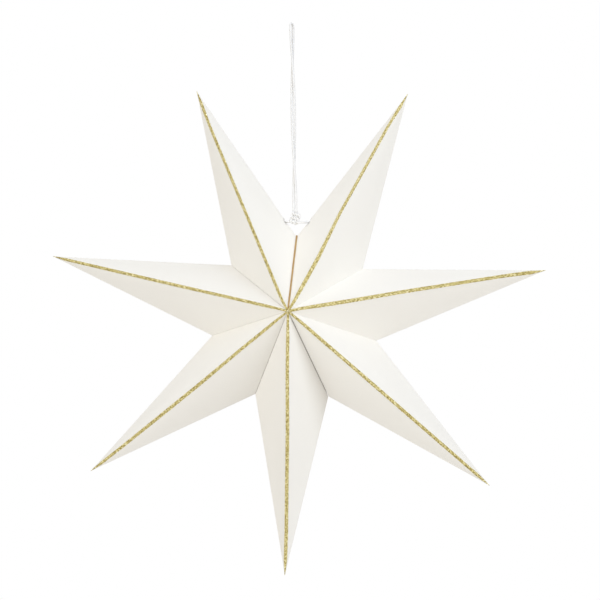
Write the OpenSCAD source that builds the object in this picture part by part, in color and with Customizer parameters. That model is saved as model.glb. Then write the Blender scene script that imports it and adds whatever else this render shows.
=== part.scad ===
// Seven-pointed folding star of white card, with gold glitter along its ridges.
// It hangs from a knotted cord. The origin is where a hook bears, under the top of the cord's loop.
// The front faces -Y, and the points are numbered clockwise from the valley at the top.

/* [Star] */
// Distance from the star's centre to each tip
point_reach = 300; // [240:5:400]
// Distance from the star's centre to each valley corner between two points
valley_reach = 100; // [80:1:130]
// Distance from the middle of the star to its front peak, and to its back peak
half_depth = 95; // [60:1:130]
// Radius of the opening where the points meet at the peaks
peak_opening_r = 1.5; // [1.5:0.1:3]
// How far the tie pulls the first point's tip towards the top valley, in degrees
first_point_lean = 1.3; // [0:0.1:2]
// How far the tie pulls the last point's tip towards the top valley, in degrees
last_point_lean = 0.3; // [0:0.1:2]
// How far the top valley lies off the middle, in degrees
top_valley_lean = 0.9; // [-2:0.1:2]

/* [Card] */
// Thickness of the folded card
card_t = 0.4; // [0.3:0.05:0.8]
// Width of the glue flaps inside the valleys
flap_w = 10; // [6:0.5:14]
// Distance from the axis to the start of a glue flap
flap_start = 6; // [5:0.5:12]
// Gap between the front and the back glue flap at the valley corner
flap_gap = 2; // [1:0.5:6]

/* [Closing strips] */
// Thickness of each board strip in the top valley
strip_t = 1; // [0.5:0.1:1.5]
// Width of each strip, from the fold inwards
strip_w = 10; // [6:0.5:14]
// How far the strips stand out of the valley's fold
strip_proud = 0.5; // [0:0.1:1]
// Gap between the front and the back strip at the valley corner
strip_gap = 0.4; // [0.2:0.1:2]

/* [Glitter] */
// How far the glitter spreads to each side of a ridge, seen from the front
glitter_reach = 2.2; // [1:0.1:5]
// Thickness of the glitter
glitter_t = 0.2; // [0.1:0.05:0.4]

/* [Cord] */
// Diameter of the cord
cord_d = 2.8; // [2:0.1:3.5]
// How far the star hangs turned, clockwise from the front, in degrees
hang_tilt = 3.2; // [-6:0.1:6]
// Diameter of the two holes that the cord is tied through
hole_d = 6; // [4.5:0.1:7]
// Distance along the side crease from the valley corner to a hole
hole_up = 20; // [16:0.5:24]
// Width of the knot over the valley
knot_d = 14; // [12:0.5:16]
// Height of the knot's flat top over its middle
knot_cap = 5.5; // [4.5:0.1:6]
// Height of the knot's middle over the two cord holes
knot_rise = 5; // [4:0.5:7]
// How far the knot lies to the left of the middle between the two cord holes
knot_side = 2.5; // [0:0.5:4]
// Diameter of the knot on each end of the cord, inside its point
stopper_d = 10; // [8:0.5:12]
// Clearance between such a knot and the card that it pulls against
stopper_clearance = 0.3; // [0.1:0.1:1]

/* [Hidden] */

card_colour = "#f4f1ea";
glitter_colour = "#c2ab62";
board_colour = "#b2916a";
cord_colour = "#f6f6f4";

points = 7;
step = 360 / points;
front = -1;
back = 1;
left = -1;
right = 1;
// How far beyond the star a cutting shape reaches
spare = 20;
round_sides = 64;
// The leaf is cut from a taller pyramid of the same slopes, this many times its size
overshoot = 1.2;
front_peak = [0, -half_depth, 0];
fold_length = norm([valley_reach, half_depth]);

// A place in the plane of the star, r from the axis at angle a, anticlockwise from +X
function polar(r, a) = [r * cos(a), 0, r * sin(a)];

function unit(v) = v / norm(v);

// Valley k lies between point k and point k + 1. Valleys 0 and 7 are the one at the top.
function valley_angle(k) = 90 - k * step + (k % points == 0 ? top_valley_lean : 0);

function tip_lean(k) = k == 1 ? first_point_lean : k == points ? -last_point_lean : 0;

function tip_angle(k) = 90 - (k - 0.5) * step + tip_lean(k);

function tip(k) = polar(point_reach, tip_angle(k));

function valley(k) = polar(valley_reach, valley_angle(k));

// Room that the closing strip takes from a point, on the side of the top valley only
function strip_room(k) = k % points == 0 ? strip_t : 0;

// Unit normal of a point's front face on the side of valley v, looking out of the card
function face_normal(k, v) =
    let (n = unit(cross(front_peak - tip(k), valley(v) - tip(k))))
    n.y < 0 ? n : -n;

// The move that takes all four faces of a point outwards by d
function face_shift(k, d) =
    let (a = face_normal(k, k - 1))
    let (b = face_normal(k, k))
    d / (a.x * b.z - a.z * b.x) * [b.z - a.z, 0, a.x - b.x];

// The four-sided pyramid of a point, with its faces moved outwards by d
module pyramid(k, d = 0) {
    base = [front_peak, valley(k - 1), -front_peak, valley(k)];
    translate(face_shift(k, d))
        polyhedron(
            points = concat([tip(k)], [for (p = base) tip(k) + overshoot * (p - tip(k))]),
            faces = [[0, 1, 2], [0, 2, 3], [0, 3, 4], [0, 4, 1], [1, 3, 2], [1, 4, 3]]
        );
}

// All that lies between the two valley planes of a point and inset away from them, in plan
module slice_outline(k, inset = 0) {
    far = 1.3 * point_reach;
    intersection() {
        rotate(valley_angle(k - 1))
            translate([-far, -far - strip_room(k - 1) - inset])
                square([2 * far, far]);
        rotate(valley_angle(k))
            translate([-far, strip_room(k) + inset])
                square([2 * far, far]);
    }
}

// Stands a plan of the star up: the plan's Y becomes +Z, and it reaches past both peaks
module through_star() {
    rotate([90, 0, 0])
        linear_extrude(height = 2 * (half_depth + spare), center = true)
            children();
}

// The slice of the star that belongs to a point
module slice(k) {
    through_star()
        difference() {
            slice_outline(k);
            circle(r = peak_opening_r, $fn = round_sides);
        }
}

// A strip of a valley plane along its fold, in that plane: x from the axis, y from front to back.
// It reaches from proud outside the fold to w inside it.
module fold_outline(w, proud, start, gap) {
    out = [half_depth, -valley_reach] / fold_length;
    along = [valley_reach, half_depth] / fold_length;
    peak = [0, -half_depth];
    corner = [valley_reach, 0];
    intersection() {
        polygon([
            peak - spare * along + proud * out,
            corner + spare * along + proud * out,
            corner + spare * along - w * out,
            peak - spare * along - w * out
        ]);
        translate([start, -2 * half_depth])
            square([2 * valley_reach, 2 * half_depth - gap / 2]);
    }
}

// Stands a plan of a valley plane up in valley v, from low to high off the plane
module along_fold(v, low, high) {
    rotate([0, -valley_angle(v), 0])
        translate([0, 0, low])
            linear_extrude(height = high - low)
                children();
}

// What is open in a valley plane, between its two glue flaps
module window_outline() {
    difference() {
        translate([-spare, -half_depth])
            square([valley_reach + 2 * spare, 2 * half_depth]);
        for (side = [front, back])
            scale([1, -side])
                fold_outline(flap_w, spare, flap_start, flap_gap);
    }
}

// Opens a point towards its neighbour over valley v. The point lies to the turn side of it.
module window(v, turn) {
    deep = strip_room(v) + 2 * card_t;
    along_fold(v, turn > 0 ? -card_t : -deep, turn > 0 ? deep : card_t)
        window_outline();
}

// One folded sheet: four faces, open towards the axis, with a glue flap on each edge
module point_body(k) {
    difference() {
        intersection() {
            pyramid(k);
            slice(k);
        }
        intersection() {
            pyramid(k, -card_t);
            union() {
                through_star()
                    slice_outline(k, card_t);
                window(k - 1, -1);
                window(k, 1);
            }
        }
    }
}

// The middle of the cord hole in a point, on its side crease over the top valley
function hole_point(k) =
    let (corner = valley(0))
    corner + hole_up * unit(tip(k) - corner);

hole_middle = (hole_point(1) + hole_point(points)) / 2;

// The loop, from the knot's top on the right, over the hook and back down on the left.
// The two strands lie beside each other and turn round each other, and part under the hook.
loop_route = [
    [1.6, 0, -228], [1.6, 0, -220], [1.6, -0.4, -210], [1.4, -1, -195], [0.7, -1.6, -180],
    [0, -1.8, -166], [-0.9, -1.6, -148], [-1.6, -0.9, -124], [-1.8, 0, -102], [-1.5, 0.9, -80],
    [-0.8, 1.6, -60], [0, 1.9, -44], [0.4, 2.4, -36], [0.8, 3.5, -26], [1.2, 4.8, -14],
    [1.4, 5.4, -4.2], [1, 3.9, -0.2], [0, 0, 1.4], [-1, -3.9, -0.2], [-1.4, -5.4, -4.2],
    [-1.2, -4.8, -14], [-0.8, -3.5, -26], [-0.4, -2.4, -36], [0, -1.9, -44], [0.8, -1.6, -60],
    [1.5, -0.9, -80], [1.8, 0, -102], [1.6, 0.9, -124], [0.9, 1.6, -148], [0, 1.8, -166],
    [-0.7, 1.6, -180], [-1.4, 1, -195], [-1.6, 0.4, -210], [-1.6, 0, -220], [-1.6, 0, -228]
];
// The knot's flat top, where the two strands of the loop enter it
knot_top = loop_route[0].z;
knot_z = knot_top - knot_cap;
// Drop from the hook to the level of the two cord holes
hang_drop = knot_rise - knot_z;

// Turns a vector in the star's own frame as the star hangs
function turned(p) = [
    p.x * cos(hang_tilt) + p.z * sin(hang_tilt),
    p.y,
    p.z * cos(hang_tilt) - p.x * sin(hang_tilt)
];

// A place in the star's own frame, as it hangs
function hung_point(p) = turned(p - hole_middle) + [knot_side, 0, -hang_drop];

// Hangs the star by its two cord holes, with the knot under the hook
module hung() {
    translate([knot_side, 0, -hang_drop])
        rotate([0, hang_tilt, 0])
            translate(-hole_middle)
                children();
}

module cord_hole(k) {
    translate(hung_point(hole_point(k)))
        rotate([0, 90, 0])
            cylinder(h = 2 * hole_d, d = hole_d, center = true, $fn = round_sides);
}

module point(k) {
    color(card_colour)
        difference() {
            hung()
                point_body(k);
            if (k == 1 || k == points)
                cord_hole(k);
        }
}

// The band of glitter over one ridge, on the card's two faces beside it
module glitter(k, side) {
    color(glitter_colour)
        hung()
            intersection() {
                difference() {
                    pyramid(k, glitter_t);
                    pyramid(k);
                }
                slice(k);
                rotate([0, -tip_angle(k), 0])
                    translate([0, side < 0 ? -half_depth - spare : 0, -glitter_reach])
                        cube([point_reach, half_depth + spare, 2 * glitter_reach]);
            }
}

// One of the four board strips that stiffen the two end flaps, face to face in the top valley
module strip(turn, side) {
    color(board_colour)
        hung()
            along_fold(0, turn < 0 ? 0 : -strip_t, turn < 0 ? strip_t : 0)
                scale([1, -side])
                    fold_outline(strip_w, strip_proud, peak_opening_r, strip_gap);
}

cord_sides = 8;
// Longest distance between two rings of a cord
ring_spacing = 3 * cord_d;
// A place on the smooth curve through four points, t from the second to the third
function curve_point(a, b, c, d, t) =
    0.5 * (2 * b + (c - a) * t + (2 * a - 5 * b + 4 * c - d) * t ^ 2 + (3 * b - a - 3 * c + d) * t ^ 3);

// The route with more places put in, on a smooth curve, so that no ring is too far from the next
function smooth_route(r) = concat(
    [
        for (i = [0 : len(r) - 2])
            let (before = r[max(i - 1, 0)], after = r[min(i + 2, len(r) - 1)])
            let (parts = ceil(norm(r[i + 1] - r[i]) / ring_spacing))
            for (j = [0 : parts - 1]) curve_point(before, r[i], r[i + 1], after, j / parts)
    ],
    [r[len(r) - 1]]
);

// The direction of a route at its place i
function heading(r, i) = unit(r[min(i + 1, len(r) - 1)] - r[max(i - 1, 0)]);

// A ring of the cord round place p, square to heading h. Its first corner looks along +Y or -X.
function ring(p, h, side_axis) =
    let (u = unit(cross(h, side_axis)), v = cross(h, u))
    [
        for (i = [0 : cord_sides - 1])
            let (a = i * 360 / cord_sides)
            p + cord_d / 2 * (cos(a) * u + sin(a) * v)
    ];

// A closed tube of the cord's diameter along a route, with flat ends
module cord_tube(route, side_axis) {
    last = len(route) - 1;
    corners = [for (i = [0 : last]) each ring(route[i], heading(route, i), side_axis)];
    walls = [
        for (i = [0 : last - 1], j = [0 : cord_sides - 1])
            let (a = i * cord_sides + j, b = i * cord_sides + (j + 1) % cord_sides)
            each [[a, b, b + cord_sides], [a, b + cord_sides, a + cord_sides]]
    ];
    first_end = [for (j = [cord_sides - 1 : -1 : 0]) j];
    last_end = [for (j = [0 : cord_sides - 1]) last * cord_sides + j];
    polyhedron(points = corners, faces = concat([first_end], walls, [last_end]));
}

module hanging_cord() {
    color(cord_colour)
        cord_tube(smooth_route(loop_route), [1, 0, 0]);
}

// The two flats low on the knot, where the cord's two ends leave it
knot_flat_x = 0.36 * knot_d;
knot_flat_top = -0.12 * knot_d;
tie_slack = 0.2;
tie_z = knot_z + knot_flat_top - cord_d / 2 - tie_slack;

module cord_knot() {
    half = knot_d / 2;
    color(cord_colour)
        difference() {
            translate([0, 0, knot_z])
                sphere(d = knot_d, $fn = round_sides);
            translate([-half, -half, knot_top])
                cube(knot_d);
            for (turn = [left, right])
                translate([turn * (knot_flat_x + half), 0, knot_z + knot_flat_top - half])
                    cube([knot_d, 2 * half, 2 * half], center = true);
        }
}

function tie_point(turn) = hung_point(hole_point(turn < 0 ? points : 1));

// How far inside a hole its stopper knot sits: against the card's two inner faces
function stopper_depth(k) =
    let (n = face_normal(k, 0))
    let (crease = turned(unit(tip(k) - valley(0))))
    (stopper_d / 2 + stopper_clearance + card_t) / norm([n.x, n.z]) / abs(crease.z);

function stopper_point(turn) = tie_point(turn) + [turn * stopper_depth(turn < 0 ? points : 1), 0, 0];

// The flat of a stopper knot, where its cord enters, as a share of the knot's diameter
stopper_flat = 0.4;

// One of the cord's two ends, from the knot through the hole to its stopper knot
module tie_cord(turn) {
    leaving = [turn * knot_flat_x, 0, tie_z];
    entering = stopper_point(turn) - [turn * stopper_flat * stopper_d, 0, 0];
    color(cord_colour)
        cord_tube([leaving, leaving + [turn * cord_d / 2, 0, 0], tie_point(turn), entering], [0, 1, 0]);
}

module stopper_knot(turn) {
    color(cord_colour)
        translate(stopper_point(turn))
            rotate([0, 0, turn > 0 ? 180 : 0])
                difference() {
                    sphere(d = stopper_d, $fn = round_sides);
                    translate([stopper_flat * stopper_d, -stopper_d / 2, -stopper_d / 2])
                        cube(stopper_d);
                }
}

point(1);  // point_1
point(2);  // point_2
point(3);  // point_3
point(4);  // point_4
point(5);  // point_5
point(6);  // point_6
point(7);  // point_7
glitter(1, front);  // front_glitter_1
glitter(2, front);  // front_glitter_2
glitter(3, front);  // front_glitter_3
glitter(4, front);  // front_glitter_4
glitter(5, front);  // front_glitter_5
glitter(6, front);  // front_glitter_6
glitter(7, front);  // front_glitter_7
glitter(1, back);  // back_glitter_1
glitter(2, back);  // back_glitter_2
glitter(3, back);  // back_glitter_3
glitter(4, back);  // back_glitter_4
glitter(5, back);  // back_glitter_5
glitter(6, back);  // back_glitter_6
glitter(7, back);  // back_glitter_7
strip(left, front);  // front_strip_left
strip(right, front);  // front_strip_right
strip(left, back);  // back_strip_left
strip(right, back);  // back_strip_right
hanging_cord();
cord_knot();
tie_cord(left);  // tie_cord_left
tie_cord(right);  // tie_cord_right
stopper_knot(left);  // stopper_knot_left
stopper_knot(right);  // stopper_knot_right
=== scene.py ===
# %% [markdown]
# # Dressing a folded paper star
# The CAD model holds the star's true sizes: seven hollow points of folded card, the board strips that close
# the fan, and the cord. This lesson gives each of them its looks. We load the CAD model as a fixed frame
# and build every visible piece again in the same place, in metres.

# %% Load the frame
import math
import random

import bmesh
import bpy
import numpy as np
from mathutils import Matrix, Vector


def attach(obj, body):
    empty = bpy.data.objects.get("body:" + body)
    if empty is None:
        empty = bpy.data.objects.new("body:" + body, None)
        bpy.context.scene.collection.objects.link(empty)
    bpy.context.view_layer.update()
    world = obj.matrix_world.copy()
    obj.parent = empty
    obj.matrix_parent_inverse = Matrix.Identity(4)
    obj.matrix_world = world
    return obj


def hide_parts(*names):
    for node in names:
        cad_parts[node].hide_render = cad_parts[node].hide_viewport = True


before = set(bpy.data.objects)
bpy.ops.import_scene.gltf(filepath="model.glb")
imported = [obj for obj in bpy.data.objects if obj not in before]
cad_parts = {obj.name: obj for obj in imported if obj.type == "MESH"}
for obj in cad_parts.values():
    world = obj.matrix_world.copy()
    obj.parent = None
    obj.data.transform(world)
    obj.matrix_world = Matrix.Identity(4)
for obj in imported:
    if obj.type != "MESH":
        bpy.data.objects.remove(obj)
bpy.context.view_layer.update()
scene = bpy.context.scene
scene.view_settings.view_transform = "Standard"
mm = 0.001
print("CAD nodes:", len(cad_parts))

# %% [markdown]
# ## The camera
# The photograph looks at the star from a little below and to the right of straight ahead. A long lens, far
# away, keeps the seven points almost equal. Place and angles are those at which the tips and valley corners
# of the star fall on the same pixels as in the photograph.

# %% Camera
camera_place = Vector((215.8, -2662.1, -630.4)) * mm
camera_angles = [math.radians(a) for a in (96.384, 0.971, 4.653)]
camera_lens = 136.45
sensor_width = 36.0

camera = bpy.data.objects.new("camera", bpy.data.cameras.new("camera"))
scene.collection.objects.link(camera)
camera.location = camera_place
camera.rotation_euler = camera_angles
camera.data.lens = camera_lens
camera.data.sensor_width = sensor_width
scene.camera = camera
print("camera is", round(camera_place.length, 2), "m from the hook")

# %% [markdown]
# ## Nodes written as sums
# Both shaders and Geometry Nodes are networks of small nodes. Wiring sums by hand is slow to read, so one
# class wraps a socket and lets Python's own operators add the Math nodes. A second class holds the tree and
# adds any other node: its settings are made first, because they decide which sockets the node has.

# %% A wire, and the web it belongs to
class Wire:
    """An output socket that Python can count with."""

    def __init__(self, web, socket):
        self.web = web
        self.socket = socket

    def of(self, name):
        """Another output of the same node."""
        return Wire(self.web, self.web.find(self.socket.node.outputs, name))

    def __add__(self, other):
        return self.web.math("ADD", self, other)

    def __radd__(self, other):
        return self.web.math("ADD", other, self)

    def __sub__(self, other):
        return self.web.math("SUBTRACT", self, other)

    def __rsub__(self, other):
        return self.web.math("SUBTRACT", other, self)

    def __mul__(self, other):
        return self.web.math("MULTIPLY", self, other)

    def __rmul__(self, other):
        return self.web.math("MULTIPLY", other, self)

    def __truediv__(self, other):
        return self.web.math("DIVIDE", self, other)

    def __pow__(self, other):
        return self.web.math("POWER", self, other)

    def __gt__(self, other):
        return self.web.math("GREATER_THAN", self, other)


class Web:
    """A node tree, with one method that adds any node."""

    def __init__(self, tree):
        self.tree = tree

    def find(self, sockets, name):
        shown = [s for s in sockets if s.enabled]
        if isinstance(name, int):
            return shown[name]
        return next(s for s in shown if name in (s.name, s.identifier))

    def add(self, kind, settings=None, inputs=None):
        """Adds a node, makes its settings, fills its sockets, and returns its first output."""
        node = self.tree.nodes.new(kind)
        for name, value in (settings or {}).items():
            if name == "stops":
                set_ramp(node.color_ramp, value)
            else:
                setattr(node, name, value)
        for name, value in (inputs or {}).items():
            socket = self.find(node.inputs, name)
            if isinstance(value, Wire):
                self.tree.links.new(value.socket, socket)
            else:
                socket.default_value = value
        shown = [s for s in node.outputs if s.enabled]
        return Wire(self, shown[0]) if shown else node

    def math(self, operation, *values):
        return self.add("ShaderNodeMath", {"operation": operation}, dict(enumerate(values)))

    def vector(self, operation, *values):
        return self.add("ShaderNodeVectorMath", {"operation": operation}, dict(enumerate(values)))

    def scale(self, vector, number):
        return self.add("ShaderNodeVectorMath", {"operation": "SCALE"}, {0: vector, "Scale": number})

    def clamp(self, value):
        """The value, held between 0 and 1."""
        return self.add("ShaderNodeClamp", None, {"Value": value})


def set_ramp(ramp, stops):
    """Gives a colour ramp its stops, each a place and a colour."""
    while len(ramp.elements) > 1:
        ramp.elements.remove(ramp.elements[-1])
    ramp.elements[0].position, ramp.elements[0].color = stops[0][0], (*stops[0][1], 1)
    for place, colour in stops[1:]:
        ramp.elements.new(place).color = (*colour, 1)


# %% [markdown]
# A Geometry Nodes tree has named inputs, as a tool has dials. A modifier finds them by identifier and not by
# name, so we look each one up in the tree's interface. Afterwards the result is baked to a plain mesh and
# the modifiers are removed, because a finished piece is a mesh at the origin.

# %% Making and baking a tree
SOCKET_KINDS = {float: "NodeSocketFloat", int: "NodeSocketInt", Vector: "NodeSocketVector"}


def geometry_tree(name, inputs):
    """A new tree. inputs names its inputs beside the geometry, and gives their usual values."""
    tree = bpy.data.node_groups.new(name, "GeometryNodeTree")
    tree.interface.new_socket("Geometry", in_out="INPUT", socket_type="NodeSocketGeometry")
    tree.interface.new_socket("Geometry", in_out="OUTPUT", socket_type="NodeSocketGeometry")
    for label, value in inputs.items():
        socket = tree.interface.new_socket(label, in_out="INPUT", socket_type=SOCKET_KINDS[type(value)])
        socket.default_value = value
    web = Web(tree)
    return web, web.add("NodeGroupInput")


def end_tree(web, geometry):
    web.add("NodeGroupOutput", None, {"Geometry": geometry})


def set_inputs(modifier, values):
    """Sets a modifier's inputs by the identifiers of the named sockets."""
    for item in modifier.node_group.interface.items_tree:
        if item.in_out == "INPUT" and item.name in values:
            modifier[item.identifier] = values[item.name]


def new_object(name, mesh):
    piece = bpy.data.objects.new(name, mesh)
    scene.collection.objects.link(piece)
    return piece


def bake(piece):
    """Turns a piece and its modifiers into a plain mesh."""
    bpy.context.view_layer.update()
    evaluated = piece.evaluated_get(bpy.context.evaluated_depsgraph_get())
    mesh = bpy.data.meshes.new_from_object(evaluated)
    mesh.name = piece.name
    piece.modifiers.clear()
    piece.data = mesh
    return piece


def grown(name, web, values, start=None):
    """An object made by a Geometry Nodes tree, with its modifier still live."""
    piece = new_object(name, start or bpy.data.meshes.new(name))
    modifier = piece.modifiers.new("nodes", "NODES")
    modifier.node_group = web.tree
    set_inputs(modifier, values)
    return piece


# %% [markdown]
# ## The cord
# A thin white cotton cord is laid from three plies that turn round each other. It goes up from the knot,
# over the hook and back down, and its two strands turn loosely round each other. The route is a list of
# given places, the same as in the CAD model, and a smooth curve runs through them.

# %% The cord's route
cord_d = 2.8 * mm
cord_pitch = 9 * mm
loop_places = [
    (1.6, 0, -228), (1.6, 0, -220), (1.6, -0.4, -210), (1.4, -1, -195), (0.7, -1.6, -180),
    (0, -1.8, -166), (-0.9, -1.6, -148), (-1.6, -0.9, -124), (-1.8, 0, -102), (-1.5, 0.9, -80),
    (-0.8, 1.6, -60), (0, 1.9, -44), (0.4, 2.4, -36), (0.8, 3.5, -26), (1.2, 4.8, -14),
    (1.4, 5.4, -4.2), (1, 3.9, -0.2), (0, 0, 1.4), (-1, -3.9, -0.2), (-1.4, -5.4, -4.2),
    (-1.2, -4.8, -14), (-0.8, -3.5, -26), (-0.4, -2.4, -36), (0, -1.9, -44), (0.8, -1.6, -60),
    (1.5, -0.9, -80), (1.8, 0, -102), (1.6, 0.9, -124), (0.9, 1.6, -148), (0, 1.8, -166),
    (-0.7, 1.6, -180), (-1.4, 1, -195), (-1.6, 0.4, -210), (-1.6, 0, -220), (-1.6, 0, -228),
]


def smooth_line(places, spacing):
    """Places on a smooth curve through the given ones, no further apart than spacing."""
    given = [Vector(p) * mm for p in places]
    line = []
    for i in range(len(given) - 1):
        before, a, b = given[max(i - 1, 0)], given[i], given[i + 1]
        after = given[min(i + 2, len(given) - 1)]
        parts = math.ceil((b - a).length / spacing)
        for t in (j / parts for j in range(parts)):
            line.append(0.5 * (2 * a + (b - before) * t + (2 * before - 5 * a + 4 * b - after) * t ** 2
                               + (3 * a - before - 3 * b + after) * t ** 3))
    return line + [given[-1]]


def line_length(line):
    return sum((b - a).length for a, b in zip(line, line[1:]))


# The last few millimetres of both strands belong to the knot
knot_entry = -225.5 * mm
loop_line = [p for p in smooth_line(loop_places, 1.2 * mm) if p.z > knot_entry]
print("cord loop:", round(line_length(loop_line), 3), "m")

# %% [markdown]
# The cord's section is a circle with three soft lobes, one for each ply. Swept along the route while the
# curve's tilt grows with its length, the lobes wind into a rope. This follows a path, so Geometry Nodes do
# it: the section's sides, the depth of the grooves and the length of one turn are dials on the tree.

# %% A tree that lays a twisted cord along lines
def cord_tree(material):
    web, dial = geometry_tree("twisted cord", {
        "Diameter": cord_d, "Turn length": cord_pitch, "Ring spacing": 0.75 * mm, "Groove": 0.15, "Sides": 15,
    })
    curve = web.add("GeometryNodeMeshToCurve", None, {"Mesh": dial})
    curve = web.add("GeometryNodeResampleCurve", {"mode": "LENGTH"},
                    {"Curve": curve, "Length": dial.of("Ring spacing")})
    along = web.add("GeometryNodeSplineParameter").of("Length")
    turns = along / dial.of("Turn length")
    curve = web.add("GeometryNodeSetCurveTilt", None, {"Curve": curve, "Tilt": turns * (2 * math.pi)})
    curve = web.add("GeometryNodeStoreNamedAttribute", {"data_type": "FLOAT", "domain": "POINT"},
                    {"Geometry": curve, "Name": "along", "Value": along})
    section = web.add("GeometryNodeCurvePrimitiveCircle", {"mode": "RADIUS"},
                      {"Resolution": dial.of("Sides"), "Radius": dial.of("Diameter") / 2})
    part = web.add("GeometryNodeSplineParameter").of("Factor")
    lobes = web.math("ABSOLUTE", web.math("SINE", part * (3 * math.pi)))
    shrink = 1 - dial.of("Groove") * ((1 - lobes) ** 2.0)
    place = web.scale(web.add("GeometryNodeInputPosition"), shrink)
    section = web.add("GeometryNodeSetPosition", None, {"Geometry": section, "Position": place})
    section = web.add("GeometryNodeStoreNamedAttribute", {"data_type": "FLOAT", "domain": "POINT"},
                      {"Geometry": section, "Name": "around", "Value": part})
    cord = web.add("GeometryNodeCurveToMesh", None,
                   {"Curve": curve, "Profile Curve": section, "Fill Caps": True})
    cord = web.add("GeometryNodeSetShadeSmooth", None, {"Geometry": cord})
    cord = web.add("GeometryNodeRealizeInstances", None, {"Geometry": cord})
    end_tree(web, web.add("GeometryNodeSetMaterial", None, {"Geometry": cord, "Material": material}))
    return web


def line_mesh(name, lines):
    """A mesh of bare edges that runs along each line."""
    mesh = bpy.data.meshes.new(name)
    places, edges = [], []
    for line in lines:
        first = len(places)
        places += list(line)
        edges += [(first + i, first + i + 1) for i in range(len(line) - 1)]
    mesh.from_pydata(places, edges, [])
    return mesh


# %% [markdown]
# Cotton is matt and white. Each ply is spun from fibres that lie at a slant, so a fine wave runs along the
# cord and round it, and the grooves between the plies are painted a shade darker, a painted shade. Both
# read the two attributes that the tree wrote, so that the pattern follows the cord wherever it bends.

# %% Cotton
def new_material(name, settings):
    """A material, its web, and a shader with the settings that are the same all over."""
    material = bpy.data.materials.new(name)
    material.use_nodes = True
    material.node_tree.nodes.clear()
    web = Web(material.node_tree)
    shader = web.add("ShaderNodeBsdfPrincipled", None, settings)
    web.add("ShaderNodeOutputMaterial", None, {"Surface": shader})
    return material, web, shader.socket.node


def link(web, node, values):
    """Links wires to a node's sockets by name."""
    for name, wire in values.items():
        web.tree.links.new(wire.socket, web.find(node.inputs, name))


def colour_mix(web, factor, first, second):
    mix = web.add("ShaderNodeMix", {"data_type": "RGBA"}, {"Factor": factor, "A": first, "B": second})
    return mix.of("Result")


def bump(web, height, distance, strength=1.0):
    return web.add("ShaderNodeBump", None, {"Height": height, "Distance": distance, "Strength": strength})


cotton, web, shader = new_material("cotton", {"Specular IOR Level": 0.2, "Sheen Weight": 0.15})
along = web.add("ShaderNodeAttribute", {"attribute_name": "along"}).of("Fac")
around = web.add("ShaderNodeAttribute", {"attribute_name": "around"}).of("Fac")
here = web.add("ShaderNodeTexCoord").of("Object")
lobe = web.math("ABSOLUTE", web.math("SINE", around * (3 * math.pi)))
fibre = web.math("SINE", along * (2 * math.pi / (0.55 * mm)) + around * (6 * math.pi))
fuzz = web.add("ShaderNodeTexNoise", None, {"Vector": here, "Scale": 1800.0, "Detail": 3.0})
groove_shade_white = (0.84, 0.835, 0.82, 1)
ply_white = (0.93, 0.925, 0.915, 1)
link(web, shader, {
    # The grooves take the darker white, a painted shade, and the crowns of the plies the paler one
    "Base Color": colour_mix(web, web.clamp(lobe * 0.8 + fuzz * 0.25), groove_shade_white, ply_white),
    "Roughness": 0.8 + fuzz * 0.15,
    "Normal": bump(web, fibre * 0.5 + fuzz, 0.12 * mm, 0.7),
})

# %% Lay the loop of cord
cord_web = cord_tree(cotton)
loop = bake(grown("loop_of_cord", cord_web, {}, line_mesh("loop", [loop_line])))
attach(loop, "root")
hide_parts("hanging_cord")
print("loop of cord:", len(loop.data.polygons), "faces")

# %% [markdown]
# ## The star's places
# A few driving sizes place everything on the star: how far the tips, the valley corners and the two peaks
# lie from its middle, and the lean that the tied cord gives the two top points. The star hangs from two cord
# holes, turned a little, with its knot under the hook.

# %% Driving sizes and places
points = 7
step = 360 / points
point_reach = 300 * mm
valley_reach = 100 * mm
half_depth = 95 * mm
tip_lean = {1: 1.3, 7: -0.3}
top_valley_lean = 0.9
hang_tilt = math.radians(3.2)
hole_up = 20 * mm
knot_side = 2.5 * mm
hang_drop = 238.5 * mm


def polar(reach, degrees):
    """A place in the star's plane. Angles run anticlockwise from the right, seen from the front."""
    angle = math.radians(degrees)
    return Vector((reach * math.cos(angle), 0, reach * math.sin(angle)))


def star_tip(k):
    return polar(point_reach, 90 - (k - 0.5) * step + tip_lean.get(k, 0))


def star_valley(k):
    """Valley k lies between point k and point k + 1, and valley 0 is also valley 7."""
    return polar(valley_reach, 90 - k * step + (top_valley_lean if k % points == 0 else 0))


def cord_hole(k):
    """The middle of the hole in a point's side crease over the top valley."""
    corner = star_valley(0)
    return corner + hole_up * (star_tip(k) - corner).normalized()


hang = (Matrix.Translation((knot_side, 0, -hang_drop))
        @ Matrix.Rotation(hang_tilt, 4, "Y")
        @ Matrix.Translation(-(cord_hole(1) + cord_hole(points)) / 2))
centre = hang @ Vector((0, 0, 0))
front_peak = hang @ Vector((0, -half_depth, 0))
back_peak = hang @ Vector((0, half_depth, 0))
through = (back_peak - front_peak).normalized()
tips = {k: hang @ star_tip(k) for k in range(1, points + 1)}
valleys = {k: hang @ star_valley(k) for k in range(points + 1)}
print("star's middle:", [round(v, 4) for v in centre])

# %% [markdown]
# ## The knots
# Over the valley the two strands of the loop are tied to each other with three half knots, one below the
# other. Then one end goes left and one goes right, each through the hole in its point, and ends in an
# overhand knot that can't slip back. A real knot finds its own shape when it is pulled, so these do too. We
# lay each strand roughly, as a string of places, and repeat three small moves: each place slides towards its
# neighbours, which is the pull, a sharp bend opens a little, and places nearer than the squeezed cord's
# thickness push each other apart. Nothing in it is random.

# %% Pull strings of places tight
squeeze = 0.86
touch = squeeze * cord_d / mm
pull_share = 0.3
stiffness = 0.08
# Places closer than this along their own line, in thicknesses, never push each other
own_line = 1.35


def evenly(line, count):
    """The same line through count places at even distances."""
    along = np.concatenate([[0], np.cumsum(np.linalg.norm(np.diff(line, axis=0), axis=1))])
    places = np.linspace(0, along[-1], count)
    return np.stack([np.interp(places, along, line[:, i]) for i in range(3)], axis=1)


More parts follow.
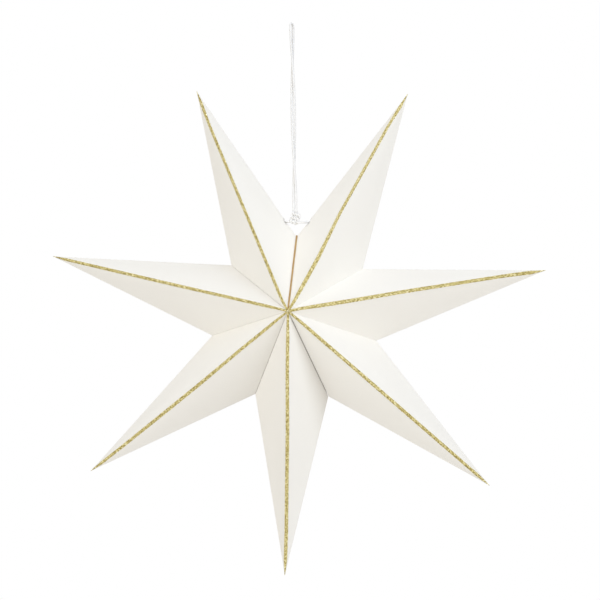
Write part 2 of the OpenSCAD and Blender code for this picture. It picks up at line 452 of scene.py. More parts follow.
def pull_tight(lines, rounds, held_first, held_last):
    """Tightens lines of places, in millimetres. The first and last few of each stay where they are."""
    ends = np.cumsum([0] + [len(line) for line in lines])
    owner = np.repeat(np.arange(len(lines)), np.diff(ends))
    spots = np.concatenate(lines)
    free = np.ones((len(spots), 1))
    for a, b in zip(ends, ends[1:]):
        free[a:a + held_first] = 0
        free[b - held_last:b] = 0
    for i in range(rounds):
        for a, b in zip(ends, ends[1:]):
            if i % 5 == 0:
                first, last = a + held_first - 1, b - held_last + 1
                spots[first:last] = evenly(spots[first:last], last - first)
            line = spots[a:b]
            line[1:-1] += pull_share * ((line[:-2] + line[2:]) / 2 - line[1:-1]) * free[a + 1:b - 1]
            bend = line[:-4] - 4 * line[1:-3] + 6 * line[2:-2] - 4 * line[3:-1] + line[4:]
            line[2:-2] -= stiffness * bend * free[a + 2:b - 2]
        spacing = np.linalg.norm(np.diff(spots[:ends[1]], axis=0), axis=1).mean()
        near_along = math.ceil(own_line * touch / spacing)
        order = np.arange(len(spots))
        neighbours = (owner[:, None] == owner) & (abs(order[:, None] - order) < near_along)
        for _ in range(2):
            apart = spots[:, None] - spots
            distance = np.linalg.norm(apart, axis=2)
            pressed = (distance < touch) & ~neighbours
            push = np.where(pressed, (touch - distance) / np.maximum(distance, 1e-6) / 2, 0)
            move = (push[..., None] * apart).sum(axis=1) / np.maximum(pressed.sum(axis=1), 1)[:, None]
            spots += move * free
    return [spots[a:b] for a, b in zip(ends, ends[1:])]


# %% Lay the knotted strands, roughly
# In millimetres: the middle height of each half knot, how far it reaches to either side, how far its strands
# wind out, the bend below it, the straight start and end of a strand, and the distance between its places
throw_heights = (-230.2, -233.5, -236.6)
knot_half_width = 3.8
winding = 1.3
knot_lean = math.radians(20)
knot_middle = np.array([-0.8, 0, throw_heights[1]])
turn_back = 1.1
lead_in = 1.5
place_gap = 0.7
hole_places = {side: np.array(hang @ cord_hole(k)) / mm for side, k in ((-1, points), (1, 1))}


def laid_evenly(parts):
    line = np.concatenate(parts)
    return evenly(line, int(np.linalg.norm(np.diff(line, axis=0), axis=1).sum() / place_gap))


def knotted_strand(turn):
    """One strand, from the loop into a hole. turn is -1 for the loop's left strand, 1 for its right."""
    twist = 3 * math.pi * np.linspace(0, 1, 30)
    side, wound = turn, []
    for i, z in enumerate(throw_heights):
        across = side * knot_half_width * np.linspace(1, -1, 30)
        depth = turn * (-1) ** i * winding * np.sin(twist)
        wound.append(np.stack([across, depth, z + winding * np.cos(twist)], axis=1))
        side = -side
        if z != throw_heights[-1]:
            wound.append([[side * (knot_half_width + turn_back), 0, (z + throw_heights[i + 1]) / 2]])
    lean = np.array(Matrix.Rotation(knot_lean, 3, "Y"))
    wound = (np.concatenate(wound) - knot_middle) @ lean.T + knot_middle
    top = np.array(loop_line[0] if turn > 0 else loop_line[-1]) / mm
    hole = hole_places[side]
    return laid_evenly([[top, top - [0, 0, lead_in]], wound,
                        [hole - [side * 2, 0, -0.2], hole, hole + [side * lead_in, 0, 0]]])


knotted = pull_tight([knotted_strand(turn) for turn in (-1, 1)], 300, 2, 4)
low, high = np.concatenate(knotted).min(axis=0), np.concatenate(knotted).max(axis=0)
print("knotted strands fill:", (high - low).round(1), "mm")

# %% Tie the stopper knots
stopper_depth = 8.6
stopper_tail = 7.0


def overhand(side):
    """The rest of a strand: an overhand knot and a short tail, inside the point on that side."""
    # These powers of t draw the simplest curve that is truly knotted
    t = np.linspace(-2.1, 2.1, 60)
    x, y, z = 0.3 * (t ** 5 - 10 * t), 1.2 * (t ** 4 - 4 * t ** 2) + 2.4, 1.6 * (t ** 3 - 3 * t)
    curve = np.stack([x, y, z], axis=1)
    line = laid_evenly([[[1.5 - stopper_depth, 0, 0], [2.5 - stopper_depth, 0, 0]], curve,
                        [[stopper_tail - 1, 0, 0], [stopper_tail, 0, 0]]])
    tight = pull_tight([line], 200, 2, 2)[0]
    return tight * [side, 1, 1] + hole_places[side] + [side * stopper_depth, 0, 0]


# Three throws take each strand across: the loop's left one ends on the right
strands = [np.concatenate([line, overhand(side)[1:]]) * mm for side, line in zip((1, -1), knotted)]
for strand in strands:
    strand_length = float(np.linalg.norm(np.diff(strand, axis=0), axis=1).sum())
    print("strand below the loop:", round(strand_length, 3), "m")
ends_mesh = line_mesh("tied ends", [[tuple(p) for p in strand] for strand in strands])
knots = bake(grown("tied_ends_of_cord", cord_web, {}, ends_mesh))
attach(knots, "root")
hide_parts("cord_knot", "tie_cord_left", "tie_cord_right",
            "stopper_knot_left", "stopper_knot_right")
print("knots and ends:", len(knots.data.polygons), "faces")

# %% [markdown]
# ## The folded points
# Each point is one sheet of card, folded into a hollow pyramid: a front ridge, a back ridge, and two side
# creases. Where it meets its neighbours the card turns inwards into a narrow glue flap. One rule gives the
# whole sheet: straight lines run from the tip to the outline of the open end, and the flap carries on from
# there. So Geometry Nodes build it from four panels, one for each flat face. The folds are small curves,
# because card never folds to a knife edge.

# %% A tree that folds one point
panel_columns = 26
fold_columns = 4
face_rows = 36
fold_rows = 5
flap_rows = 4
# A valley's gap opens over the first few millimetres from the axis
gap_opens_over = 8 * mm


def even_step(web, start, length, value):
    """0 up to start, 1 after start + length, and even in between."""
    return web.clamp((value - start) / length)


def rounded_side(web, reach, column, corners):
    """One side of the outline, rounded at its corners: where it is, its direction, and the straight share."""
    before, first, second, after = corners
    # Half a fold, the straight side, half a fold
    round_in = 0.5 + 0.5 * even_step(web, 0, fold_columns, column)
    straight = even_step(web, fold_columns, panel_columns - 2 * fold_columns, column)
    round_out = 0.5 * even_step(web, panel_columns - fold_columns, fold_columns, column)
    side = web.vector("SUBTRACT", second, first)
    along = web.vector("NORMALIZE", side)
    back = web.vector("NORMALIZE", web.vector("SUBTRACT", before, first))
    onward = web.vector("NORMALIZE", web.vector("SUBTRACT", after, second))
    length = web.vector("LENGTH", side).of("Value")
    travel = (reach * round_in * round_in + (length - 2 * reach) * straight
              + reach * (1 - (1 - round_out) * (1 - round_out)))
    outline = scaled_sum(web, first, (along, travel), (back, reach * (1 - round_in) * (1 - round_in)),
                         (onward, reach * round_out * round_out))
    return outline, along, straight


def from_the_middle(web, dial, place):
    """How far a place lies from the star's middle plane, how far from its axis, and the way there."""
    away = web.vector("SUBTRACT", place, dial.of("Centre"))
    depth = web.math("ABSOLUTE", web.vector("DOT_PRODUCT", away, dial.of("Through")).of("Value"))
    distance = web.vector("LENGTH", away).of("Value")
    return depth, web.math("SQRT", distance * distance - depth * depth), away


def fold_panel(web, dial, tip, corners, outward, gap, shade, shade_reach):
    """One flat face and its flap. corners are the outline's: one before, this side's two, one after."""
    rows = face_rows + fold_rows + flap_rows
    grid = web.add("GeometryNodeMeshGrid", None, {
        "Size X": 1.0, "Size Y": 1.0, "Vertices X": panel_columns + 1, "Vertices Y": rows + 1,
    })
    place = web.add("ShaderNodeSeparateXYZ", None, {0: web.add("GeometryNodeInputPosition")})
    column = (place.of("X") + 0.5) * panel_columns
    row = (place.of("Y") + 0.5) * rows
    outline, along, straight = rounded_side(web, dial.of("Fold size"), column, corners)
    depth, radius, _ = from_the_middle(web, dial, outline)
    inset = gap * web.clamp(radius / gap_opens_over)
    outline = scaled_sum(web, outline, (outward, -1 * inset))
    # From the tip to the outline, round the fold, and into the flap
    ray = web.vector("SUBTRACT", outline, tip)
    ray_length = web.vector("LENGTH", ray).of("Value")
    ray = web.vector("NORMALIZE", ray)
    inward = web.vector("NORMALIZE", web.vector("CROSS_PRODUCT", along, outward))
    flap = web.math("MINIMUM", dial.of("Flap width"),
                    web.math("MINIMUM", depth - dial.of("Flap gap") / 2, radius - dial.of("Flap start")))
    flap = web.math("MAXIMUM", flap, 0.0)
    # The rows crowd towards the valley, so that the smooth shading of the fold doesn't spread over the face
    to_valley = 1 - even_step(web, 0, face_rows, row)
    on_face = 1 - to_valley * to_valley
    on_fold = even_step(web, face_rows, fold_rows, row)
    on_flap = even_step(web, face_rows + fold_rows, flap_rows, row)
    turn = dial.of("Valley fold")
    has_flap = web.clamp(flap / turn)
    back_off = (ray_length - turn) * (1 - on_face) + turn * (1 - on_fold) * (1 - on_fold)
    into = turn * on_fold * on_fold * has_flap + web.math("MAXIMUM", flap - turn, 0.0) * on_flap
    # A sheet of card is never quite flat. 64 makes this just 1 in the middle of a face
    swell = 64 * (straight * (1 - straight)) ** 2.0 * on_face * (1 - on_face)
    normal = web.vector("NORMALIZE", web.vector("CROSS_PRODUCT", ray, along))
    sheet = scaled_sum(web, outline, (ray, -1 * back_off), (inward, into), (normal, swell * dial.of("Bow")))
    # The painted shade in a valley fans out with it, so it goes by the angle from the valley at the star's
    # middle
    _, from_axis, away = from_the_middle(web, dial, sheet)
    off_valley = web.math("ABSOLUTE", web.vector("DOT_PRODUCT", away, outward).of("Value"))
    amount = shade * web.clamp(1 - off_valley / (from_axis * shade_reach)) ** 1.5
    shaded = web.add("GeometryNodeStoreNamedAttribute", {"data_type": "FLOAT", "domain": "POINT"},
                     {"Geometry": grid, "Name": "shade", "Value": amount})
    return web.add("GeometryNodeSetPosition", None, {"Geometry": shaded, "Position": sheet})


def scaled_sum(web, start, *terms):
    """start plus each vector times its number."""
    for vector, number in terms:
        start = web.vector("ADD", start, web.scale(vector, number))
    return start


def point_tree(material):
    web, dial = geometry_tree("folded point", {
        "Tip": Vector(), "Front peak": Vector(), "Back peak": Vector(), "Left corner": Vector(),
        "Right corner": Vector(), "Left outward": Vector(), "Right outward": Vector(), "Centre": Vector(),
        "Through": Vector(), "Left gap": 0.0, "Right gap": 0.0,
        "Fold size": 0.9 * mm, "Valley fold": 0.07 * mm,
        "Flap width": 10 * mm, "Flap start": 6 * mm, "Flap gap": 2 * mm, "Bow": 0.3 * mm,
        "Left shade": 0.0, "Left shade reach": 0.3, "Right shade": 0.0, "Right shade reach": 0.3,
    })
    tip = dial.of("Tip")
    front, right = dial.of("Front peak"), dial.of("Right corner")
    rear, left = dial.of("Back peak"), dial.of("Left corner")
    sides = [
        ((left, front, right, rear), "Right"), ((front, right, rear, left), "Right"),
        ((right, rear, left, front), "Left"), ((rear, left, front, right), "Left"),
    ]
    joined = web.add("GeometryNodeJoinGeometry")
    for corners, side in sides:
        panel = fold_panel(web, dial, tip, corners, dial.of(side + " outward"), dial.of(side + " gap"),
                           dial.of(side + " shade"), dial.of(side + " shade reach"))
        web.tree.links.new(panel.socket, joined.socket.node.inputs[0])
    sheet = web.add("GeometryNodeFlipFaces", None, {"Mesh": joined})
    sheet = web.add("GeometryNodeMergeByDistance", None, {"Geometry": sheet, "Distance": 0.003 * mm})
    sheet = web.add("GeometryNodeSetShadeSmooth", None, {"Geometry": sheet})
    sheet = web.add("GeometryNodeRealizeInstances", None, {"Geometry": sheet})
    end_tree(web, web.add("GeometryNodeSetMaterial", None, {"Geometry": sheet, "Material": material}))
    return web


# %% [markdown]
# The card is a matt, slightly warm white with a fine tooth. Up close there are fibres and faint clouding, as
# paper is never of one density. The colour moves by about one part in a hundred, which is enough to keep
# large flat faces alive. Beside some of the valleys a painted shade darkens the card, deeper than the lamps
# alone give; the tree writes it as a number on the sheet.

# %% Card
card, web, shader = new_material("card", {"Specular IOR Level": 0.25})
here = web.add("ShaderNodeTexCoord").of("Object")
cloud = web.add("ShaderNodeTexNoise", None, {"Vector": here, "Scale": 22.0, "Detail": 4.0})
tooth = web.add("ShaderNodeTexNoise", None,
                {"Vector": here, "Scale": 900.0, "Detail": 5.0, "Roughness": 0.65})
stretched = web.add("ShaderNodeMapping", None, {"Vector": here, "Scale": (1500.0, 1500.0, 260.0)})
fibres = web.add("ShaderNodeTexNoise", None, {"Vector": stretched, "Scale": 1.0, "Detail": 2.0})
paler = (0.945, 0.93, 0.885, 1)
deeper = (0.915, 0.895, 0.845, 1)
in_shade = (0.3, 0.27, 0.235, 1)
# Painted shade: where the tree wrote a shade number, the card's colour is darkened towards in_shade
shade = web.add("ShaderNodeAttribute", {"attribute_name": "shade"}).of("Fac")
clean = colour_mix(web, web.clamp(cloud * 0.9 + fibres * 0.3 - 0.2), deeper, paler)
link(web, shader, {
    "Base Color": colour_mix(web, shade, clean, in_shade),
    "Roughness": 0.72 + tooth * 0.2,
    "Normal": bump(web, tooth + fibres * 0.6, 0.05 * mm, 0.5),
})

# %% [markdown]
# Every valley of a hand-glued star closes a little differently. Where the two sheets lie tight the valley
# hardly shows, and where they stand apart there is a thin dark line. The closing valley at the top is wider,
# because the board strips lie between its sheets. The sheet gets its thickness from Solidify, and a cutter
# makes the two cord holes.

# %% Fold the seven points
card_t = 0.4 * mm
strip_t = 1.0 * mm
peak_opening = 0.1 * mm
hole_d = 6 * mm
# Half the gap between the sheets of each valley, numbered clockwise from the top
valley_gap = {0: strip_t, 1: 0.0, 2: 0.01 * mm, 3: 0.29 * mm,
              4: 0.16 * mm, 5: 0.06 * mm, 6: 0.08 * mm, 7: strip_t}
bow = {1: 0.35, 2: 0.3, 3: 0.45, 4: -0.3, 5: 0.5, 6: 0.4, 7: 0.3}
# How deep the painted shade is beside a valley, and how wide it fans out, for the points that have one on
# their left or right
left_shade = {4: (0.46, 0.25), 5: (0.26, 0.5)}
right_shade = {3: (0.16, 0.38), 6: (0.19, 0.4)}
no_shade = (0.0, 0.3)
point_web = point_tree(card)


def hole_cutter(k):
    """A round bar through a point's side crease, where the cord goes in."""
    bm = bmesh.new()
    place = Matrix.Translation(hang @ cord_hole(k)) @ Matrix.Rotation(math.pi / 2, 4, "Y")
    bmesh.ops.create_cone(bm, cap_ends=True, segments=40, radius1=hole_d / 2, radius2=hole_d / 2,
                          depth=2 * hole_d, matrix=place)
    mesh = bpy.data.meshes.new("cutter")
    bm.to_mesh(mesh)
    bm.free()
    return new_object("cutter", mesh)


for k in range(1, points + 1):
    left, right = valleys[k - 1], valleys[k]
    down_ridge = (tips[k] - front_peak).normalized()
    down_back = (tips[k] - back_peak).normalized()
    left_depth, left_reach = left_shade.get(k, no_shade)
    right_depth, right_reach = right_shade.get(k, no_shade)
    leaf = grown(f"folded_point_{k}", point_web, {
        "Tip": tips[k], "Left corner": left, "Right corner": right, "Centre": centre, "Through": through,
        "Front peak": front_peak + peak_opening * down_ridge,
        "Back peak": back_peak + peak_opening * down_back,
        "Left outward": (left - centre).cross(through).normalized(),
        "Right outward": through.cross(right - centre).normalized(),
        "Left gap": valley_gap[k - 1], "Right gap": valley_gap[k], "Bow": bow[k] * mm,
        "Left shade": left_depth, "Left shade reach": left_reach,
        "Right shade": right_depth, "Right shade reach": right_reach,
    })
    wall = leaf.modifiers.new("wall", "SOLIDIFY")
    wall.thickness = card_t
    wall.offset = -1
    wall.thickness_clamp = 1.5
    cutter = None
    if k in (1, points):
        cutter = hole_cutter(k)
        hole = leaf.modifiers.new("hole", "BOOLEAN")
        hole.object = cutter
        hole.operation = "DIFFERENCE"
        hole.solver = "EXACT"
    bake(leaf)
    if cutter:
        bpy.data.objects.remove(cutter)
    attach(leaf, "root")
    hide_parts(f"point_{k}")
    print(leaf.name, len(leaf.data.polygons), "faces")

# %% [markdown]
# ## Gold glitter on the ridges
# A line of glue was run along each ridge and dusted with gold glitter. Two things make it read as glitter: a
# glue bed whose edge wanders a little, and thousands of small six-sided flakes that lie on it at slightly
# different tilts. The bed is a strip that hugs the fold, widest along most of the ridge, cut to a point
# between its neighbours at the peak, and drawn out to a point at the tip. Points are then scattered over it
# and a flake is put on each. No hand lays such a line quite true: it drifts to one side of the fold. The
# flakes are also painted a deeper gold along one edge, a painted shade on the side away from the light.
# Both are dials on the tree.

# %% A tree that lays a line of glitter along a ridge
# The drift changes along this stretch of the ridge, and fades out before either end
drift_change_start = 75 * mm
drift_change_length = 65 * mm
peak_fade_start = 2 * mm
peak_fade_length = 14 * mm
tip_fade_length = 50 * mm
# The bed's half width at the tip, and how fast it widens from the peak
tip_half_width = 0.35 * mm
widening = 0.045
# The fold that the bed bends over, and how much duller both of its edges are
ridge_rounding = 0.15 * mm
edge_dulling = 0.5


def down_face(web, peak, ridge, corner):
    """The way down a face from its ridge, square to the ridge."""
    side = web.vector("SUBTRACT", corner, peak)
    along = web.vector("DOT_PRODUCT", side, ridge).of("Value")
    return web.vector("NORMALIZE", scaled_sum(web, side, (ridge, -1 * along)))


def bed_width(web, dial, travel, length, across):
    """Half the bed's width. Its edge wanders, and the two sides of the ridge wander apart."""
    seed = dial.of("Seed")
    spot = web.add("ShaderNodeCombineXYZ", None, {
        "X": travel * 420, "Y": (across > 0) * 7 + seed * 3, "Z": seed,
    })
    wander = web.add("ShaderNodeTexNoise", None, {"Vector": spot, "Scale": 1.0, "Detail": 2.0})
    near_peak = web.math("MAXIMUM", travel - dial.of("Start"), 0.0)
    start_width = dial.of("Half width") * dial.of("Start width")
    near_peak = web.math("MINIMUM", near_peak, start_width + near_peak * widening)
    near_tip = (length - travel) * (dial.of("Half width") / dial.of("Taper")) + tip_half_width
    width = web.math("MINIMUM", dial.of("Half width"), web.math("MINIMUM", near_peak, near_tip))
    return width * (0.7 + 0.6 * wander)


def bed_drift(web, dial, travel, length):
    """How far the bed lies down the left face. There is no drift at either end."""
    outer = even_step(web, drift_change_start, drift_change_length, travel)
    drift = dial.of("Drift at peak") + (dial.of("Drift at tip") - dial.of("Drift at peak")) * outer
    return (drift * even_step(web, peak_fade_start, peak_fade_length, travel)
            * web.clamp((length - travel) / tip_fade_length))


def glue_bed(web, dial):
    """The strip of glue, bent over the ridge."""
    peak = dial.of("Peak")
    ridge = web.vector("SUBTRACT", dial.of("Tip"), peak)
    length = web.vector("LENGTH", ridge).of("Value")
    ridge = web.vector("NORMALIZE", ridge)
    to_right = down_face(web, peak, ridge, dial.of("Right corner"))
    to_left = down_face(web, peak, ridge, dial.of("Left corner"))
    outward = web.vector("NORMALIZE", web.scale(web.vector("ADD", to_right, to_left), -1))
    grid = web.add("GeometryNodeMeshGrid", None, {
        "Size X": 2.0, "Size Y": 1.0, "Vertices X": 15, "Vertices Y": 200,
    })
    place = web.add("ShaderNodeSeparateXYZ", None, {0: web.add("GeometryNodeInputPosition")})
    across = place.of("X")
    travel = (place.of("Y") + 0.5) * length
    down = across * bed_width(web, dial, travel, length, across) - bed_drift(web, dial, travel, length)
    bend = web.math("SQRT", down * down + ridge_rounding ** 2)
    spot = web.add("ShaderNodeCombineXYZ", None, {"X": travel * 900, "Y": across * 4, "Z": dial.of("Seed")})
    grain = web.add("ShaderNodeTexNoise", None, {"Vector": spot, "Scale": 1.0})
    lift = dial.of("Bed height") * (0.6 + 0.8 * grain) * (1 - across ** 4.0 * 0.7)
    bed_place = scaled_sum(web, peak, (ridge, travel), (to_right, (bend + down) / 2),
                           (to_left, (bend - down) / 2), (outward, lift))
    bed = web.add("GeometryNodeSetPosition", None, {"Geometry": grid, "Position": bed_place})
    bed = web.add("GeometryNodeStoreNamedAttribute", {"data_type": "FLOAT", "domain": "POINT"},
                  {"Geometry": bed, "Name": "flake", "Value": 0.0})
    # Both edges are a little duller, and one edge is painted darker still, a painted shade on the side away
    # from the light
    edge_dulling_and_shade = across ** 4.0 * edge_dulling - across * dial.of("Shade on left edge")
    return web.add("GeometryNodeStoreNamedAttribute", {"data_type": "FLOAT", "domain": "POINT"},
                   {"Geometry": bed, "Name": "dull", "Value": edge_dulling_and_shade})


def flakes_on(web, dial, bed):
    """Flakes scattered over the bed, each tilted, sized and toned by chance."""
    seed = dial.of("Seed")
    scattered = web.add("GeometryNodeDistributePointsOnFaces", {"distribute_method": "RANDOM"}, {
        "Mesh": bed, "Density": dial.of("Flakes per square metre"), "Seed": seed,
    })
    tilt = dial.of("Tilt")
    low = web.add("ShaderNodeCombineXYZ", None, {"X": -1 * tilt, "Y": -1 * tilt, "Z": 0.0})
    high = web.add("ShaderNodeCombineXYZ", None, {"X": tilt, "Y": tilt, "Z": 2 * math.pi})
    lean = web.add("FunctionNodeRandomValue", {"data_type": "FLOAT_VECTOR"},
                   {"Min": low, "Max": high, "Seed": seed})
    lean = web.add("FunctionNodeEulerToRotation", None, {"Euler": lean})
    turned = web.add("FunctionNodeRotateRotation", {"rotation_space": "LOCAL"}, {
        "Rotation": scattered.of("Rotation"), "Rotate By": lean,
    })
    size = web.add("FunctionNodeRandomValue", {"data_type": "FLOAT"},
                   {"Min": 0.6, "Max": 1.25, "Seed": seed + 1})
    flake = web.add("GeometryNodeMeshCircle", {"fill_type": "NGON"},
                    {"Vertices": 6, "Radius": dial.of("Flake radius")})
    flakes = web.add("GeometryNodeInstanceOnPoints", None, {
        "Points": scattered, "Instance": flake, "Rotation": turned, "Scale": size,
    })
    tone = web.add("FunctionNodeRandomValue", {"data_type": "FLOAT"},
                   {"Min": 0.1, "Max": 1.0, "Seed": seed + 2})
    return web.add("GeometryNodeStoreNamedAttribute", {"data_type": "FLOAT", "domain": "INSTANCE"},
                   {"Geometry": flakes, "Name": "flake", "Value": tone})


def glitter_tree(material):
    web, dial = geometry_tree("line of glitter", {
        "Peak": Vector(), "Tip": Vector(), "Left corner": Vector(), "Right corner": Vector(),
        "Half width": 3.3 * mm, "Taper": 20 * mm, "Start": 1.1 * mm, "Start width": 0.6,
        "Bed height": 0.45 * mm, "Drift at peak": 0.0, "Drift at tip": 0.0, "Shade on left edge": 0.0,
        "Flakes per square metre": 2.3e6, "Flake radius": 0.4 * mm, "Tilt": 0.38, "Seed": 1,
    })
    bed = glue_bed(web, dial)
    both = web.add("GeometryNodeJoinGeometry")
    for part in (bed, flakes_on(web, dial, bed)):
        web.tree.links.new(part.socket, both.socket.node.inputs[0])
    both = web.add("GeometryNodeRealizeInstances", None, {"Geometry": both})
    end_tree(web, web.add("GeometryNodeSetMaterial", None, {"Geometry": both, "Material": material}))
    return web


# %% [markdown]
# Each flake carries its own number, which the tree wrote. The colour ramp turns it into anything from dark
# bronze to pale gold, so that no two neighbours match. A cloud gathers them into lighter and darker clumps,
# and the dull edges are deeper, with a painted shade on one side of each line. Where the number is nought
# there is no flake but the glue bed, dull and darker.

# %% Gold
# How far a flake's own number, its clump, and its dull edges with the painted shade each move it along the
# ramp, and the middle of the ramp
flake_share = 0.4
clump_share = 2.0
dull_and_shade_share = 0.4
middle_tone = 0.49

gold, web, shader = new_material("gold glitter", {"Specular IOR Level": 0.6})
number = web.add("ShaderNodeAttribute", {"attribute_name": "flake"}).of("Fac")
here = web.add("ShaderNodeTexCoord").of("Object")
dull = web.add("ShaderNodeAttribute", {"attribute_name": "dull"}).of("Fac")
clumps = web.add("ShaderNodeTexNoise", None, {"Vector": here, "Scale": 480.0, "Detail": 1.0})
tone = web.add("ShaderNodeValToRGB", {"stops": [
    (0.0, (0.26, 0.19, 0.05)), (0.3, (0.44, 0.35, 0.1)), (0.55, (0.66, 0.55, 0.2)),
    (0.8, (0.87, 0.78, 0.38)), (1.0, (0.98, 0.93, 0.64)),
]}, {"Fac": web.clamp(number * flake_share + (clumps - 0.5) * clump_share
                      - dull_and_shade_share * dull + middle_tone)})
grit = web.add("ShaderNodeTexNoise", None, {"Vector": here, "Scale": 2400.0, "Detail": 2.0})
is_flake = number > 0.05
link(web, shader, {
    "Base Color": tone,
    "Metallic": is_flake * 0.85,
    "Roughness": 0.75 - is_flake * (0.2 + 0.25 * number),
    "Normal": bump(web, grit * (1 - is_flake), 0.15 * mm, 0.8),
})

# %% Lay glitter on every ridge, front and back
# For each ridge, in millimetres: how far the line drifts down the face on its left, at the peak and at the
# tip, and half its width. The last one is a painted shade: how much darker its left edge is painted than its
# right, so that the side away from the light reads as shaded
drift_at_peak = {1: -0.9, 2: 1.4, 3: 0.4, 4: -0.2, 5: -0.2, 6: -0.4, 7: 2.8}
drift_at_tip = {1: 4.3, 2: 2.9, 3: 0.6, 4: 1.5, 5: 1.7, 6: 0.2, 7: 3.0}
half_width = {1: 3.7, 2: 4.2, 3: 3.5, 4: 3.5, 5: 3.2, 6: 3.2, 7: 3.2}
shade_on_left = {1: 0.9, 2: -0.6, 3: -0.7, 4: 0.1, 5: 0.5, 6: 0.6, 7: 0.95}
glitter_web = glitter_tree(gold)
for k in range(1, points + 1):
    for face, peak, right, left, drifts, dull in (
            ("front", front_peak, valleys[k], valleys[k - 1],
             (drift_at_peak[k], drift_at_tip[k]), shade_on_left[k]),
            ("back", back_peak, valleys[k - 1], valleys[k], (0.0, 0.8), -shade_on_left[k])):
        line = bake(grown(f"glitter_line_{face}_{k}", glitter_web, {
            "Peak": peak, "Tip": tips[k], "Left corner": left, "Right corner": right,
            "Drift at peak": drifts[0] * mm, "Drift at tip": drifts[1] * mm,
            "Half width": half_width[k] * mm, "Shade on left edge": dull,
            "Seed": 10 * k + (5 if face == "back" else 0),
        }))
        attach(line, "root")
        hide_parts(f"{face}_glitter_{k}")
    print("ridge", k, "has", len(line.data.polygons), "faces of glitter")

# %% [markdown]
# ## Board strips in the closing valley
# The fan closes at the top, where two stiff strips of brown board lie face to face on each half of the star.
# Only their outer edges show, as a brown line. Cut board has a soft, slightly ragged edge, so each strip is
# a row of rounded sections that step in and out by a few hundredths of a millimetre.

# %% Kraft board
board, web, shader = new_material("kraft board", {"Specular IOR Level": 0.15})
here = web.add("ShaderNodeTexCoord").of("Object")
speck = web.add("ShaderNodeTexNoise", None, {"Vector": here, "Scale": 1400.0, "Detail": 3.0})
cloud = web.add("ShaderNodeTexNoise", None, {"Vector": here, "Scale": 160.0, "Detail": 3.0})
tone = web.add("ShaderNodeValToRGB", {"stops": [
    (0.25, (0.34, 0.22, 0.1)), (0.5, (0.5, 0.33, 0.145)), (0.75, (0.6, 0.42, 0.21)),
]}, {"Fac": cloud * 0.6 + speck * 0.4})
link(web, shader, {
    "Base Color": tone, "Roughness": 0.85 + speck * 0.1, "Normal": bump(web, speck, 0.2 * mm, 0.8),
})

# %% Build the four strips
strip_w = 10 * mm
strip_proud = 0.5 * mm
strip_start = 1.5 * mm
strip_gap = 0.4 * mm
strip_rounding = 0.18 * mm
corner_cut = 0.3
strip_sections = 90
# How much the height, the thickness and the place of a section vary
ragged_height = 0.07 * mm
ragged_thickness = 0.05 * mm
ragged_place = 0.02 * mm
dice = random.Random(7)
valley_out = (valleys[0] - centre).normalized()
valley_side = valley_out.cross(through)


def board_strip(name, peak, turn):
    """A strip along the closing valley. turn is 1 on the left and -1 on the right."""
    fold = valleys[0] - peak
    toward = (centre - peak).normalized()
    along = fold.normalized()
    out = (valley_out * half_depth - toward * valley_reach).normalized()
    start = strip_start * fold.length / valley_reach
    end = fold.length * (1 - strip_gap / 2 / half_depth)
    bm = bmesh.new()
    rings = []
    for i in range(strip_sections + 1):
        spot = peak + along * (start + (end - start) * i / strip_sections)
        high = strip_proud + dice.uniform(-1, 1) * ragged_height
        thick = strip_t + dice.uniform(-1, 0) * ragged_thickness
        near = dice.uniform(0, 1) * ragged_place
        r = strip_rounding
        cut = corner_cut * r
        outline = [(near, -strip_w), (near, high - r), (near + cut, high - cut), (near + r, high),
                   (thick - r, high), (thick - cut, high - cut), (thick, high - r), (thick, -strip_w)]
        rings.append([bm.verts.new(spot + valley_side * turn * x + out * y) for x, y in outline])
    for ring, following in zip(rings, rings[1:]):
        for j in range(len(ring)):
            bm.faces.new((ring[j], ring[j - 1], following[j - 1], following[j]))
    bm.faces.new(rings[0])
    bm.faces.new(reversed(rings[-1]))
    bmesh.ops.recalc_face_normals(bm, faces=bm.faces)
    mesh = bpy.data.meshes.new(name)
    bm.to_mesh(mesh)
    bm.free()
    mesh.materials.append(board)
    return new_object(name, mesh)


for face, peak in (("front", front_peak), ("back", back_peak)):
    for side, turn in (("left", 1), ("right", -1)):
        strip = board_strip(f"board_strip_{face}_{side}", peak, turn)
        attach(strip, "root")
        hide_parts(f"{face}_strip_{side}")
print("strip sides:", [round(v, 3) for v in valley_side])

# %% [markdown]
# ## Floor, lamps and background
# The photograph has a pure white ground and a very soft light from the upper right. The background is white
# only for rays that come from the camera or a shiny surface, so it adds no light. An even sky and a wide
# lamp in front light the star at a plain level, at which a colour renders about as it is written. A cooler,
# weaker lamp from the upper right gives the faces on that side a little more, as in the photograph.

# %% The stage
sky_level = 0.655
front_energy = 39.5
front_place = Vector((0, -3.2, 0.38))
front_size = 1.8
key_energy = 17.0
key_colour = (0.53, 0.7, 1.0)
key_place = Vector((1.5, -2.3, 1.3))
key_size = 1.6
floor_z = -1.25
floor_size = 12
floor_glow = 0.8
sky_colour = (1.0, 0.985, 0.96, 1)


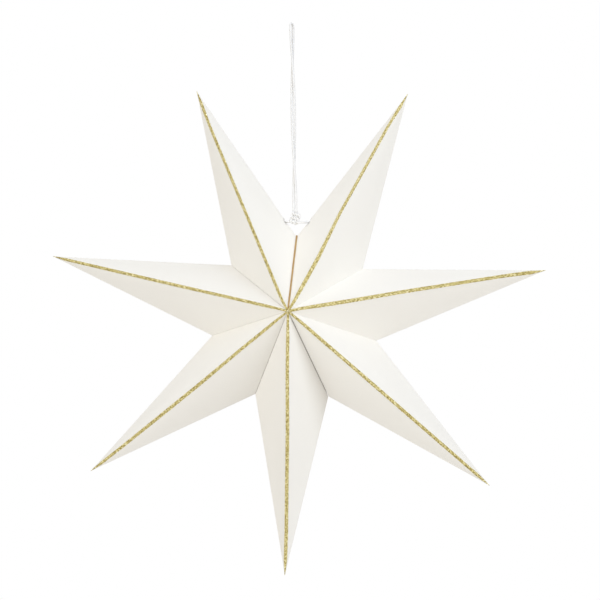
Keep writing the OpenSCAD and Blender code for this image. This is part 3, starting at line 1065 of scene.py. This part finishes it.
def seen_directly(web):
    """1 for a ray from the camera or off something shiny, and 0 for one that lights the scene."""
    rays = web.add("ShaderNodeLightPath")
    return web.clamp(rays.of("Is Camera Ray") + rays.of("Is Glossy Ray") + rays.of("Is Transmission Ray"))


world = bpy.data.worlds.new("sky")
scene.world = world
world.use_nodes = True
world.node_tree.nodes.clear()
web = Web(world.node_tree)
sky = web.add("ShaderNodeBackground", None, {"Color": sky_colour, "Strength": sky_level})
ground = web.add("ShaderNodeBackground", None, {"Color": (1, 1, 1, 1), "Strength": 1.0})
shown = web.add("ShaderNodeMixShader", None, {0: seen_directly(web), 1: sky, 2: ground})
web.add("ShaderNodeOutputWorld", None, {"Surface": shown})


def soft_lamp(name, place, size, energy, colour):
    """A round area lamp that faces the star."""
    lamp = bpy.data.objects.new(name, bpy.data.lights.new(name, "AREA"))
    scene.collection.objects.link(lamp)
    lamp.data.shape = "DISK"
    lamp.data.size = size
    lamp.data.energy = energy
    lamp.data.color = colour
    lamp.location = place
    lamp.rotation_euler = (centre - place).to_track_quat("-Z", "Y").to_euler()


soft_lamp("key", key_place, key_size, key_energy, key_colour)
soft_lamp("front", front_place, front_size, front_energy, sky_colour[:3])

floor_colour = (0.9, 0.88, 0.85, 1)
floor_paint, web, shader = new_material("floor paint", {"Base Color": floor_colour, "Roughness": 0.9})
glow = web.add("ShaderNodeEmission", None, {"Color": (1, 1, 1, 1), "Strength": 1.0})
painted = Wire(web, shader.outputs[0])
mixed = web.add("ShaderNodeMixShader", None, {0: seen_directly(web) * floor_glow, 1: painted, 2: glow})
output = next(n for n in web.tree.nodes if n.type == "OUTPUT_MATERIAL")
link(web, output, {"Surface": mixed})

bm = bmesh.new()
bmesh.ops.create_grid(bm, x_segments=1, y_segments=1, size=floor_size,
                      matrix=Matrix.Translation((0, 0, floor_z)))
floor_mesh = bpy.data.meshes.new("floor")
bm.to_mesh(floor_mesh)
bm.free()
floor = new_object("floor", floor_mesh)
floor.data.materials.append(floor_paint)
